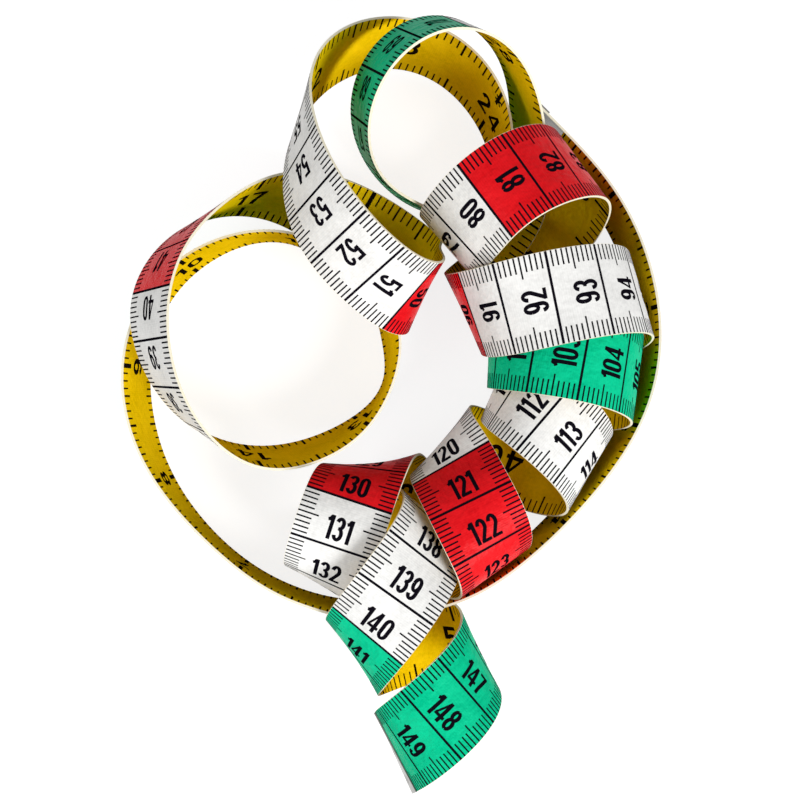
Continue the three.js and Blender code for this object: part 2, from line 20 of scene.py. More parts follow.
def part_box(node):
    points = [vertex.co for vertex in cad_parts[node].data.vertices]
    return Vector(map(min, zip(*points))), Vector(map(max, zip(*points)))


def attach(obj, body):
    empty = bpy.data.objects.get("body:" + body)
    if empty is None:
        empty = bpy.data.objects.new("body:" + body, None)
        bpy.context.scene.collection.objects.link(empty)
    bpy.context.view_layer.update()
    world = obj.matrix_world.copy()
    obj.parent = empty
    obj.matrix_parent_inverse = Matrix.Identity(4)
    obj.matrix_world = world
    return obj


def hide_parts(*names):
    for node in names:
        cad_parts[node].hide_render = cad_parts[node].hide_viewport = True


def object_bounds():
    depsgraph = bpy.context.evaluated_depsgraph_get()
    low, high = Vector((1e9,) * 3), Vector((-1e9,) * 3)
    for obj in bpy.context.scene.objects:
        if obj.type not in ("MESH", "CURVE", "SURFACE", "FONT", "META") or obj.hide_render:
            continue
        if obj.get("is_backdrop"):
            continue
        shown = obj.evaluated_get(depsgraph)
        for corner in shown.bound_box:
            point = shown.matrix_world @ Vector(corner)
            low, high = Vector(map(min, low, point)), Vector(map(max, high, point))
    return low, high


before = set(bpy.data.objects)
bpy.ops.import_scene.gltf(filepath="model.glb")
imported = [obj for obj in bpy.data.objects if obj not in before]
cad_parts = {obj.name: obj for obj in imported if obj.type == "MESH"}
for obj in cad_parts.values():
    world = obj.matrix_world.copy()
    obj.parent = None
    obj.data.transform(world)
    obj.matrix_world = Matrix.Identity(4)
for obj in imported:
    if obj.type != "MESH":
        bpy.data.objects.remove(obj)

LOG = logging.getLogger("tape")
Point = tuple[float, float]
Span = tuple[float, float]
Rgba = tuple[float, float, float, float]
Faces = list[tuple[int, ...]]
Shape = tuple[np.ndarray, Faces]
Socket = bpy.types.NodeSocket

# A millimetre in metres, and a centimetre in millimetres.
MM = 0.001
CM = 10

# Edges sharper than this many degrees stay sharp in every piece.
SHARP_DEGREES = 40

# Places closer than this many millimetres count as one when print is cut or joined.
CUT_TOLERANCE = 1e-5
JOIN_TOLERANCE = 1e-4

WHITE_LIGHT = (1.0, 1.0, 1.0, 1.0)


class Side(Enum):
    """The two faces of the tape, as the way their print stands off the middle."""

    CENTIMETRE = -1
    INCH = 1


def feed(tree: bpy.types.NodeTree, socket: Socket, value: "Socket | float") -> None:
    """Gives an input a number or the value of another socket.

    Args:
        tree: the node tree that holds it.
        socket: the input.
        value: what it takes.
    """
    if isinstance(value, (int, float)):
        socket.default_value = value
    else:
        tree.links.new(value, socket)


def math_node(tree: bpy.types.NodeTree, kind: str, *values: "Socket | float") -> Socket:
    """A Math node fed by sockets and numbers.

    Args:
        tree: the node tree that it is made in.
        kind: its operation.
        values: what its inputs take, in order.

    Returns:
        Its output.
    """
    node = tree.nodes.new("ShaderNodeMath")
    node.operation = kind
    for socket, value in zip(node.inputs, values):
        feed(tree, socket, value)
    return node.outputs[0]


def cloud(tree: bpy.types.NodeTree, place: Socket, scale: "Socket | float", detail: float) -> Socket:
    """Soft noise over a piece.

    Args:
        tree: the node tree that it is made in.
        place: where on the piece.
        scale: clouds per unit of the place.
        detail: how many finer layers it has.

    Returns:
        A value about 0.5.
    """
    noise = tree.nodes.new("ShaderNodeTexNoise")
    noise.inputs["Detail"].default_value = detail
    feed(tree, noise.inputs["Scale"], scale)
    tree.links.new(place, noise.inputs["Vector"])
    return noise.outputs["Fac"]


def blend(tree: bpy.types.NodeTree, share: Socket, pale: Rgba, dark: Rgba) -> Socket:
    """A colour between two.

    Args:
        tree: the node tree that it is made in.
        share: how much of the second colour shows, from 0 to 1.
        pale: the first colour.
        dark: the second colour.

    Returns:
        The blended colour.
    """
    mix = tree.nodes.new("ShaderNodeMix")
    mix.data_type = "RGBA"
    mix.inputs["A"].default_value = pale
    mix.inputs["B"].default_value = dark
    tree.links.new(share, mix.inputs["Factor"])
    return mix.outputs["Result"]


def darker(colour: Rgba, share: float) -> Rgba:
    """The colour with a share of its light taken away."""
    return tuple(part * (1 - share) for part in colour[:3]) + (1.0,)


def new_group(
    name: str, inputs: tuple[str, ...], outputs: tuple[str, ...]
) -> tuple[bpy.types.NodeTree, bpy.types.Node, bpy.types.Node]:
    """A shader node group with its sockets, still empty inside.

    Args:
        name: the group's name.
        inputs: names of the numbers that it takes.
        outputs: names of the values that it puts out.

    Returns:
        Its node tree, its input node and its output node.
    """
    tree = bpy.data.node_groups.new(name, "ShaderNodeTree")
    for labels, way in ((inputs, "INPUT"), (outputs, "OUTPUT")):
        for label in labels:
            tree.interface.new_socket(label, in_out=way, socket_type="NodeSocketFloat")
    return tree, tree.nodes.new("NodeGroupInput"), tree.nodes.new("NodeGroupOutput")


def placed_group(
    tree: bpy.types.NodeTree, group: bpy.types.NodeTree, values: dict[str, float]
) -> dict[str, Socket]:
    """Places a node group in a material with the material's own values.

    Args:
        tree: the material's node tree.
        group: the group.
        values: what its inputs take, by their names.

    Returns:
        The group's outputs by name.
    """
    node = tree.nodes.new("ShaderNodeGroup")
    node.node_tree = group
    for label, value in values.items():
        node.inputs[label].default_value = value
    return dict(node.outputs.items())


def new_material(name: str) -> tuple[bpy.types.Material, bpy.types.NodeTree, bpy.types.Node]:
    """A material with nodes.

    Args:
        name: the material's name.

    Returns:
        The material, its node tree and its Principled shader.
    """
    material = bpy.data.materials.new(name)
    material.use_nodes = True
    return material, material.node_tree, material.node_tree.nodes["Principled BSDF"]


@dataclass(frozen=True)
class WeaveGroup:
    """Shared effect: the fine cross weave that shows through a thin coat."""

    name: str = "tape_weave"
    inputs: tuple[str, ...] = ("Ribs per mm", "Threads per mm", "Creases per mm", "Blotch per mm")
    grain_per_mm: float = 1.3
    grain_detail: float = 4.0
    crease_detail: float = 3.0
    blotch_detail: float = 2.0
    rib_height: float = 0.3
    thread_height: float = 0.15
    crease_height: float = 9.0
    grain_height: float = 1.6
    rib_shade: float = 0.12

    def build(self) -> bpy.types.NodeTree:
        """Makes the node group once.

        Returns:
            The node group with a Height, a Shade and a Mottle output.
        """
        if self.name in bpy.data.node_groups:
            return bpy.data.node_groups[self.name]
        tree, given, put = new_group(self.name, self.inputs, ("Height", "Shade", "Mottle"))
        ribs_rate, threads_rate, creases_rate, blotch_rate = given.outputs[:len(self.inputs)]
        coords = tree.nodes.new("ShaderNodeUVMap")
        coords.uv_map = "flat"
        flat = coords.outputs["UV"]
        split = tree.nodes.new("ShaderNodeSeparateXYZ")
        tree.links.new(flat, split.inputs[0])
        ribs = self._ridge(tree, split.outputs["X"], ribs_rate)
        threads = self._ridge(tree, split.outputs["Y"], threads_rate)
        grain = cloud(tree, flat, self.grain_per_mm, self.grain_detail)
        creases = cloud(tree, flat, creases_rate, self.crease_detail)
        crossed = math_node(tree, "MULTIPLY", threads, self.thread_height)
        woven = math_node(tree, "MULTIPLY_ADD", ribs, self.rib_height, crossed)
        creased = math_node(tree, "MULTIPLY", creases, self.crease_height)
        rough = math_node(tree, "MULTIPLY_ADD", grain, self.grain_height, creased)
        feed(tree, put.inputs["Height"], math_node(tree, "ADD", woven, rough))
        feed(tree, put.inputs["Shade"], math_node(tree, "MULTIPLY_ADD", ribs, self.rib_shade, grain))
        feed(tree, put.inputs["Mottle"], cloud(tree, flat, blotch_rate, self.blotch_detail))
        return tree

    def _ridge(self, tree: bpy.types.NodeTree, place: Socket, rate: Socket) -> Socket:
        """Rounded ridges along one flat direction.

        Args:
            tree: the group's node tree.
            place: the flat coordinate that the ridges cross.
            rate: how many ridges a millimetre has.

        Returns:
            Their height, from 0 to 1.
        """
        turns = math_node(tree, "MULTIPLY", place, rate)
        wave = math_node(tree, "SINE", math_node(tree, "MULTIPLY", turns, 2 * math.pi))
        return math_node(tree, "MULTIPLY_ADD", wave, 0.5, 0.5)


@dataclass(frozen=True)
class GrainGroup:
    """Shared effect: the slight unevenness of ink, cut cloth and plated sheet."""

    name: str = "fine_grain"
    detail: float = 2.0

    def build(self) -> bpy.types.NodeTree:
        """Makes the node group once.

        Returns:
            The node group with a Mask output.
        """
        if self.name in bpy.data.node_groups:
            return bpy.data.node_groups[self.name]
        tree, given, put = new_group(self.name, ("Grain per m",), ("Mask",))
        coords = tree.nodes.new("ShaderNodeTexCoord")
        mask = cloud(tree, coords.outputs["Object"], given.outputs["Grain per m"], self.detail)
        feed(tree, put.inputs["Mask"], mask)
        return tree


@dataclass(frozen=True)
class CoatFinish:
    """Soft printed vinyl over cloth: colour, sheen and how far the weave shows."""

    name: str
    colour: Rgba
    roughness: float = 0.4
    relief_mm: float = 0.03
    gloss: float = 0.02
    tint: float = 0.09
    worn: float = 0.006
    worn_white: float = 0.8
    mottle_from: float = 0.16
    mottle_to: float = 0.46
    rough_swing: float = 0.2
    bump: float = 0.7
    ribs_per_mm: float = 2.2
    threads_per_mm: float = 1.6
    creases_per_mm: float = 0.55
    blotch_per_mm: float = 0.16

    def build(self) -> bpy.types.Material:
        """Makes the material.

        Returns:
            A Principled material with woven relief and slight mottling.
        """
        material, tree, shader = new_material(self.name)
        shader.inputs["Specular IOR Level"].default_value = self.gloss
        group = WeaveGroup()
        rates = (self.ribs_per_mm, self.threads_per_mm, self.creases_per_mm, self.blotch_per_mm)
        weave = placed_group(tree, group.build(), dict(zip(group.inputs, rates)))
        contrast = tree.nodes.new("ShaderNodeMapRange")
        contrast.inputs["From Min"].default_value = self.mottle_from
        contrast.inputs["From Max"].default_value = self.mottle_to
        mottled = math_node(tree, "MULTIPLY", weave["Mottle"], weave["Shade"])
        feed(tree, contrast.inputs["Value"], mottled)
        dark = darker(self.colour, 2 * self.tint)
        colour = blend(tree, contrast.outputs["Result"], self._worn_colour(), dark)
        feed(tree, shader.inputs["Base Color"], colour)
        smoothest = self.roughness - self.rough_swing / 2
        rough = math_node(tree, "MULTIPLY_ADD", weave["Mottle"], self.rough_swing, smoothest)
        feed(tree, shader.inputs["Roughness"], rough)
        bump = tree.nodes.new("ShaderNodeBump")
        bump.inputs["Strength"].default_value = self.bump
        bump.inputs["Distance"].default_value = self.relief_mm * MM
        feed(tree, bump.inputs["Height"], weave["Height"])
        feed(tree, shader.inputs["Normal"], bump.outputs["Normal"])
        return material

    def _worn_colour(self) -> Rgba:
        """The colour with the paleness that use has given it."""
        return tuple(c * (1 - self.worn) + self.worn_white * self.worn for c in self.colour[:3]) + (1.0,)


@dataclass(frozen=True)
class PlainFinish:
    """Ink, cut cloth edge or plated sheet: one colour with a little unevenness."""

    name: str
    colour: Rgba
    roughness: float
    metallic: float = 0.0
    gloss: float = 0.0
    grain_per_mm: float = 3.0
    grain: float = 0.15

    def build(self) -> bpy.types.Material:
        """Makes the material.

        Returns:
            A Principled material whose colour and roughness vary slightly.
        """
        material, tree, shader = new_material(self.name)
        shader.inputs["Metallic"].default_value = self.metallic
        shader.inputs["Specular IOR Level"].default_value = self.gloss
        grain = placed_group(tree, GrainGroup().build(), {"Grain per m": self.grain_per_mm / MM})
        mask = grain["Mask"]
        colour = blend(tree, mask, self.colour, darker(self.colour, 2 * self.grain))
        feed(tree, shader.inputs["Base Color"], colour)
        rough = math_node(tree, "MULTIPLY_ADD", mask, self.grain, self.roughness - self.grain / 2)
        feed(tree, shader.inputs["Roughness"], rough)
        return material


class Band(Enum):
    """The colour bands of the centimetre face, as their finishes."""

    RED = CoatFinish("red_coat", (0.78, 0.004, 0.009, 1.0), relief_mm=0.045, gloss=0.08)
    WHITE = CoatFinish("white_coat", (0.87, 0.865, 0.845, 1.0), relief_mm=0.025, gloss=0.03)
    GREEN = CoatFinish("green_coat", (0.0, 0.58, 0.29, 1.0), relief_mm=0.06, gloss=0.02)


def shell_faces(tall: int, wide: int) -> Faces:
    """The faces of a closed sheet between two like grids of corners.

    Args:
        tall: how many rows each grid has.
        wide: how many corners each row has.

    Returns:
        Corner numbers of each face, with the inner grid numbered first.
    """
    count = tall * wide
    faces = []
    for r in range(tall - 1):
        for c in range(wide - 1):
            a, b = r * wide + c, (r + 1) * wide + c
            faces.append((a, b, b + 1, a + 1))
            faces.append((count + a, count + a + 1, count + b + 1, count + b))
        for c in (0, wide - 1):
            a, b = r * wide + c, (r + 1) * wide + c
            ring = (a, count + a, count + b, b)
            faces.append(ring if c == 0 else ring[::-1])
    for r in (0, tall - 1):
        for c in range(wide - 1):
            a = r * wide + c
            ring = (a, a + 1, count + a + 1, count + a)
            faces.append(ring if r == 0 else ring[::-1])
    return faces


@dataclass
class Strip:
    """The woven strip: its two edges along the coil, and every flat place laid on it."""

    width: float = 18.0
    length: float = 1500.0
    core: float = 0.3
    coat: float = 0.1
    rim: float = 0.06
    row: float = 1.0
    columns: int = 12
    least_rung_step: float = 1.0
    rows: np.ndarray = field(init=False)
    normals: np.ndarray = field(init=False)

    def __post_init__(self) -> None:
        """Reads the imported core's edges and draws them as finer smooth rows."""
        self.rows = self._smooth(self._rungs())
        self.normals = self._normals()

    def _rungs(self) -> np.ndarray:
        """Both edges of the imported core, rung by rung from the zero end.

        Returns:
            An array of rungs by edge (upper, lower) by x, y, z in millimetres.
        """
        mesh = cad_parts["cloth_core"].data
        corners = np.array([v.co[:] for v in mesh.vertices]) / MM
        places, index = np.unique(np.round(corners, 3), axis=0, return_inverse=True)
        index = index.reshape(-1)
        near: list[set[int]] = [set() for _ in places]
        for face in mesh.polygons:
            ring = [int(index[v]) for v in face.vertices]
            for one in ring:
                near[one].update(other for other in ring if other != one)
        span = [
            {other: float(np.linalg.norm(place - places[other])) for other in around}
            for place, around in zip(places, near)
        ]
        pair = [min(reach, key=reach.get) for reach in span]
        middle = [(place + places[other]) / 2 for place, other in zip(places, pair)]

        def neighbours(corner: int) -> set[int]:
            """The corners of the next rungs on the same edge.

            Args:
                corner: a corner of the core.

            Returns:
                Those before it and after it along its edge.
            """
            around = set(span[corner]) | set(span[pair[corner]])
            steps = {other: np.linalg.norm(middle[other] - middle[corner]) for other in around}
            least, most = self.least_rung_step, self.width / 2
            return {other for other, step in steps.items() if least < step < most}

        ahead = [neighbours(n) for n in range(len(places))]

        def walk(start: int) -> list[int]:
            """Follows one edge to its other end.

            Args:
                start: the corner at its end.

            Returns:
                One corner of every rung.
            """
            chain, seen = [start], {start, pair[start]}
            while True:
                onward = [other for other in ahead[chain[-1]] if other not in seen]
                if not onward:
                    return chain
                chain.append(onward[0])
                seen.update({onward[0], pair[onward[0]]})

        low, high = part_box("zero_tip")
        tip = np.array((low + high) / 2) / MM
        rungs_near = [{min(other, pair[other]) for other in onward} for onward in ahead]
        ends = {min(n, pair[n]) for n, rungs in enumerate(rungs_near) if len(rungs) == 1}
        starts = sorted(ends, key=lambda n: np.linalg.norm(middle[n] - tip))[:2]
        edges = sorted((walk(n) for n in starts), key=lambda chain: -middle[chain[0]][2])
        return np.array([[middle[n] for n in chain] for chain in edges]).transpose(1, 0, 2)

    def _smooth(self, rungs: np.ndarray) -> np.ndarray:
        """Rows at an even step on a smooth curve through the rungs.

        Args:
            rungs: both edges, rung by rung.

        Returns:
            Rows by edge by x, y, z in millimetres.
        """
        ends = (2 * rungs[:1] - rungs[1:2], 2 * rungs[-1:] - rungs[-2:-1])
        full = np.concatenate([ends[0], rungs, ends[1]])
        bend = full[:-2] - 2 * full[1:-1] + full[2:]
        knots = rungs - bend / 6
        knots = np.concatenate([2 * knots[:1] - knots[1:2], knots, 2 * knots[-1:] - knots[-2:-1]])
        count = int(round(self.length / self.row)) + 1
        at = np.linspace(0, len(rungs) - 1, count)
        i = np.minimum(at.astype(int), len(rungs) - 2)
        t = (at - i)[:, None, None]
        weights = ((1 - t) ** 3, 3 * t**3 - 6 * t**2 + 4, -3 * t**3 + 3 * t**2 + 3 * t + 1, t**3)
        return sum(w * knots[i + k] for k, w in enumerate(weights)) / 6

    def _normals(self) -> np.ndarray:
        """Unit normals of the cloth.

        Returns:
            One at both edges of each row, towards the inch side.
        """
        along = np.gradient(self.rows, axis=0)
        across = (self.rows[:, :1] - self.rows[:, 1:]).repeat(2, axis=1)
        normal = np.cross(along, across)
        return normal / np.linalg.norm(normal, axis=2, keepdims=True)

    def coat_columns(self) -> np.ndarray:
        """The columns of a coat, which stops short of both cut edges."""
        return np.linspace(self.rim, self.width - self.rim, self.columns + 1)

    def lay(self, flat: np.ndarray, height: np.ndarray | float) -> np.ndarray:
        """Lays flat places on the strip, and straight on past its ends.

        Args:
            flat: places as (along, across) in millimetres, across from the lower edge.
            height: distance from the middle of the cloth, positive on the inch side.

        Returns:
            Places as x, y, z in millimetres.
        """
        at = flat[:, 0] / self.row
        i = np.clip(np.floor(at).astype(int), 0, len(self.rows) - 2)
        t = (at - i)[:, None, None]
        v = (flat[:, 1] / self.width)[:, None]
        rails = self.rows[i] * (1 - t) + self.rows[i + 1] * t
        normals = self.normals[i] * (1 - t) + self.normals[i + 1] * t
        place = rails[:, 0] * v + rails[:, 1] * (1 - v)
        normal = normals[:, 0] * v + normals[:, 1] * (1 - v)
        normal /= np.linalg.norm(normal, axis=1, keepdims=True)
        return place + normal * np.reshape(height, (-1, 1))

    def layer(
        self, start: float, stop: float, across: np.ndarray, inner: np.ndarray, outer: np.ndarray
    ) -> tuple[np.ndarray, Faces, np.ndarray]:
        """A closed layer of the strip.

        Args:
            start: where it begins along the tape.
            stop: where it ends.
            across: its columns, measured from the lower edge.
            inner: height of its inner face at each column.
            outer: height of its outer face at each column.

        Returns:
            Its places, its faces and the flat place of each corner.
        """
        between = np.arange(math.floor(start / self.row) + 1, math.ceil(stop / self.row)) * self.row
        lines = np.concatenate([[start], between, [stop]])
        grid = np.stack(np.meshgrid(lines, across, indexing="ij"), axis=-1).reshape(-1, 2)
        heights = [np.tile(face, len(lines)) for face in (inner, outer)]
        places = np.concatenate([self.lay(grid, height) for height in heights])
        faces = shell_faces(len(lines), len(across))
        if outer[0] < inner[0]:
            faces = [ring[::-1] for ring in faces]
        return places, faces, np.concatenate([grid, grid])


def make_piece(
    name: str, places: np.ndarray, faces: Faces, flat: np.ndarray, material: bpy.types.Material
) -> bpy.types.Object:
    """Makes a mesh object from places in millimetres.

    Args:
        name: the piece's name.
        places: corners in millimetres.
        faces: corner numbers of each face.
        flat: where each corner lies on the flat tape, kept as texture coordinates.
        material: its finish.

    Returns:
        The new object, riding on the root body.
    """
    mesh = bpy.data.meshes.new(name)
    mesh.from_pydata((places * MM).tolist(), [], faces)
    layer = mesh.uv_layers.new(name="flat")
    corner = np.zeros(len(mesh.loops), np.int32)
    mesh.loops.foreach_get("vertex_index", corner)
    layer.data.foreach_set("uv", flat[corner].astype(np.float32).ravel())
    mesh.polygons.foreach_set("use_smooth", [True] * len(mesh.polygons))
    mesh.materials.append(material)
    mesh.update()
    piece = bpy.data.objects.new(name, mesh)
    bpy.context.scene.collection.objects.link(piece)
    mesh.set_sharp_from_angle(angle=math.radians(SHARP_DEGREES))
    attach(piece, "root")
    LOG.info("%s: %d faces", name, len(mesh.polygons))
    return piece


@dataclass(frozen=True)
class Numerals:
    """Plain block numerals of one size, drawn as strokes of a fixed width.

    A four is wider than the others, and its slope is thinner, so that its opening stays clear.
    """

    height: float
    width: float
    stem: float
    bar: float
    gap: float
    four_width_share: float = 1.12
    slope_width_share: float = 0.6
    arc_step: float = 22.0
    least_joint: float = 0.6

    def _arc(self, centre: Point, radii: Point, start: float, stop: float) -> list[Point]:
        """Points on an elliptical arc.

        Args:
            centre: its centre.
            radii: its half width and half height.
            start: the angle in degrees that it starts from.
            stop: the angle that it ends at.

        Returns:
            Its points in order, both ends among them.
        """
        steps = max(3, round(abs(stop - start) / self.arc_step))
        angles = np.radians(np.linspace(start, stop, steps + 1))
        (x, y), (wide, high) = centre, radii
        return [(x + wide * math.cos(a), y + high * math.sin(a)) for a in angles]

    def _strokes(self, sign: str) -> list[list[Point]]:
        """The middle lines of one sign's strokes.

        Args:
            sign: a digit or an asterisk.

        Returns:
            One list of points for each stroke, in millimetres from the foot's left end.
        """
        high, wide = self.height, self.width
        left, right = self.stem / 2, wide - self.stem / 2
        foot, head = self.bar / 2, high - self.bar / 2
        mid, half = wide / 2, (right - left) / 2
        waist = 0.53 * high
        upper, lower = (head - waist) / 2, (waist - foot) / 2
        bend = 0.21 * high
        if sign == "0":
            over = self._arc((mid, head - bend), (half, bend), 0, 180)
            under = self._arc((mid, foot + bend), (half, bend), 180, 360)
            return [over + [under[0]], under + [over[0]]]
        if sign == "1":
            stem = 0.62 * wide - self.stem / 2
            flag_end = (stem - 0.2 * self.stem, 0.96 * high)
            flag = [(0.0, 0.79 * high), (0.5 * stem, 0.82 * high), flag_end]
            return [[(stem, 0.0), (stem, high)], flag]
        if sign == "2":
            sweep = self._arc((mid, head - bend * 1.1), (half, bend * 1.1), 172, -32)
            tail = [(left + 0.1 * half, self.bar * 0.9), (left, foot)]
            return [sweep + tail, [(0.0, foot), (wide, foot)]]
        if sign == "3":
            top = self._arc((mid, waist + upper), (half * 0.95, upper), 165, -90)
            base = self._arc((mid, foot + lower), (half, lower), 90, -165)
            return [top + [(mid - 0.3 * half, waist)], [(mid - 0.3 * half, waist)] + base]
        if sign == "4":
            wide *= self.four_width_share
            stem = wide - 1.05 * self.stem
            bar = 0.27 * high
            slope = [(stem - 0.2 * self.stem, 0.95 * high), (0.25 * self.stem, bar)]
            return [[(stem, 0.0), (stem, high)], [(0.0, bar), (wide, bar)], slope]
        if sign == "5":
            bowl = self._arc((mid, foot + lower * 1.12), (half, lower * 1.12), 140, -165)
            return [[(left, head), (wide * 0.95, head)], [(left, high), (left, 0.45 * high)], bowl]
        if sign == "6":
            ring = self._arc((mid, foot + lower * 1.12), (half, lower * 1.12), 180, 540)
            turn = len(ring) // 2
            hook = self._arc((mid, head - bend), (half, bend), 12, 180)
            return [ring[:turn + 1], ring[turn:], hook + [(left, foot + lower)]]
        if sign == "7":
            bends = [(mid + 0.3 * half, 0.6 * high), (mid - 0.25 * half, 0.3 * high)]
            slope = [(right, head)] + bends + [(mid - 0.45 * half, 0.0)]
            return [[(0.0, head), (wide, head)], slope]
        if sign == "8":
            small = self._arc((mid, waist + upper), (half * 0.92, upper), 90, 450)
            large = self._arc((mid, foot + lower), (half, lower), 90, 450)
            turn = len(small) // 2
            more = len(large) // 2
            return [small[:turn + 1], small[turn:], large[:more + 1], large[more:]]
        if sign == "9":
            return [[(wide - x, high - y) for x, y in stroke] for stroke in self._strokes("6")]
        centre, radii = (mid, high * 0.6), (half * 0.9, half * 0.9)
        ends = [self._arc(centre, radii, turn, turn + 180) for turn in (30, 90, 150)]
        return [[half_turn[0], half_turn[-1]] for half_turn in ends]

    def _sides(self, stroke: list[Point], share: float) -> tuple[np.ndarray, np.ndarray]:
        """Both sides of one stroke: stems are wider than bars.

        Args:
            stroke: its middle line.
            share: its width as a share of the usual one.

        Returns:
            The points to the left and to the right of the line.
        """
        line = np.array(stroke)
        steps = np.diff(line, axis=0)
        steps /= np.linalg.norm(steps, axis=1, keepdims=True)
        ways = np.concatenate([steps[:1], steps[:-1] + steps[1:], steps[-1:]])
        ways /= np.linalg.norm(ways, axis=1, keepdims=True)
        normals = np.stack([-ways[:, 1] * self.stem / 2, ways[:, 0] * self.bar / 2], axis=1) * share
        joints = np.concatenate([[1.0], np.sum(ways[1:-1] * steps[1:], axis=1), [1.0]])
        normals /= np.maximum(joints, self.least_joint)[:, None]
        return line + normals, line - normals

    def sign(self, sign: str) -> Shape:
        """One sign as a flat mesh of joined strokes.

        Args:
            sign: a digit or an asterisk.

        Returns:
            Its corners in millimetres and its faces.
        """
        corners: list[Vector] = []
        rings = []
        for k, stroke in enumerate(self._strokes(sign)):
            first, size = len(corners), len(stroke)
            share = self.slope_width_share if sign == "4" and k == 2 else 1.0
            for side in self._sides(stroke, share):
                corners += [Vector(point) for point in side]
            lefts = range(first, first + size)
            rings += [[n + size, n + size + 1, n + 1, n] for n in lefts[:-1]]
        places, _, faces, _, _, origins = delaunay_2d_cdt(corners, [], rings, 1, JOIN_TOLERANCE)
        kept = [tuple(face) for face, origin in zip(faces, origins) if origin]
        return np.array([p[:] for p in places]), kept

    def line(self, text: str, signs: dict[str, Shape]) -> Shape:
        """A line of signs, centred at 0 along its run and standing on 0.

        Args:
            text: the signs to draw.
            signs: the signs drawn before, which this adds to.

        Returns:
            Its corners and faces.
        """
        corners, faces, pen, count = [], [], 0.0, 0
        for sign in text:
            if sign not in signs:
                signs[sign] = self.sign(sign)
            shape, rings = signs[sign]
            corners.append(shape + (pen, 0.0))
            faces += [tuple(v + count for v in ring) for ring in rings]
            pen += shape[:, 0].max() + self.gap
            count += len(shape)
        joined = np.concatenate(corners)
        joined[:, 0] -= (pen - self.gap) / 2
        return joined, faces


@dataclass
class Print:
    """One printed scale: its ticks, lines and numerals as thin ink laid on a coat."""

    strip: Strip
    side: Side
    ink_height: float = 0.02
    bar_step: float = 1.5
    corners: list[np.ndarray] = field(default_factory=list)
    faces: Faces = field(default_factory=list)
    count: int = 0

    def bar(self, along: float, low: float, high: float, width: float) -> None:
        """A line across the tape.

        Args:
            along: its place along the tape.
            low: where it starts across, from the lower edge.
            high: where it ends across.
            width: its width along the tape.
        """
        levels = np.linspace(low, high, max(1, round((high - low) / self.bar_step)) + 1)
        corners = [(along + side * width / 2, level) for level in levels for side in (-1, 1)]
        faces = [(2 * k, 2 * k + 1, 2 * k + 3, 2 * k + 2) for k in range(len(levels) - 1)]
        self.shape(np.array(corners), faces)

    def tick(self, along: float, reach: float, width: float) -> None:
        """A short line at each edge of the tape.

        Args:
            along: its place along the tape.
            reach: how far it goes in from the edge.
            width: its width along the tape.
        """
        edge, top = self.strip.rim, self.strip.width - self.strip.rim
        self.bar(along, edge, edge + reach, width)
        self.bar(along, top - reach, top, width)

    def shape(self, corners: np.ndarray, faces: Faces) -> None:
        """Adds a flat shape, cut where the rows of the strip cross it.

        Args:
            corners: its places as (along, across).
            faces: corner numbers of each face.
        """
        start, stop, row = corners[:, 0].min(), corners[:, 0].max(), self.strip.row
        sheet = bmesh.new()
        points = [sheet.verts.new((x, y, 0.0)) for x, y in corners]
        for ring in faces:
            sheet.faces.new([points[v] for v in ring])
        for cut in np.arange(math.ceil(start / row), math.floor(stop / row) + 1) * row:
            if start + JOIN_TOLERANCE < cut < stop - JOIN_TOLERANCE:
                parts = sheet.verts[:] + sheet.edges[:] + sheet.faces[:]
                plane = {"plane_co": (cut, 0, 0), "plane_no": (1, 0, 0), "dist": CUT_TOLERANCE}
                bmesh.ops.bisect_plane(sheet, geom=parts, **plane)
        sheet.verts.index_update()
        self.corners.append(np.array([v.co[:2] for v in sheet.verts]))
        self.faces += [tuple(self.count + v.index for v in face.verts) for face in sheet.faces]
        self.count += len(sheet.verts)
        sheet.free()

    def build(self, name: str, ink: bpy.types.Material) -> None:
        """Lays the whole print on its face of the tape, as one thin piece.

        Args:
            name: the piece's name.
            ink: its finish.
        """
        flat = np.concatenate(self.corners)
        surface = self.strip.core / 2 + self.strip.coat
        places = self.strip.lay(flat, self.side.value * (surface + self.ink_height))
        make_piece(name, places, self._outward(flat), flat, ink)

    def _outward(self, flat: np.ndarray) -> Faces:
        """The faces turned so that each looks away from the tape.

        Args:
            flat: the corners' flat places.

        Returns:
            Corner numbers of each face.
        """
        faces = []
        for ring in self.faces:
            x, y = flat[list(ring)].T
            area = float(np.dot(x, np.roll(y, -1)) - np.dot(y, np.roll(x, -1)))
            faces.append(ring if area * self.side.value > 0 else ring[::-1])
        return faces


@dataclass
class WovenCloth:
    """The woven core: its bare cut edges are as thick as cloth and coats together."""

    strip: Strip
    finish: PlainFinish = PlainFinish(
        "cut_cloth", (0.94, 0.88, 0.69, 1.0), roughness=0.7, grain_per_mm=4.0, grain=0.08
    )

    def build(self) -> None:
        """Makes the cloth in place of its plain solid."""
        strip = self.strip
        half, full = strip.core / 2, strip.core / 2 + strip.coat
        inside = strip.coat_columns()
        across = np.concatenate([[0.0, strip.rim], inside, [strip.width - strip.rim, strip.width]])
        height = np.concatenate([[full, full], np.full(len(inside), half), [full, full]])
        places, faces, flat = strip.layer(0.0, strip.length, across, -height, height)
        piece = make_piece("woven_cloth", places, faces, flat, self.finish.build())
        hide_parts("cloth_core")


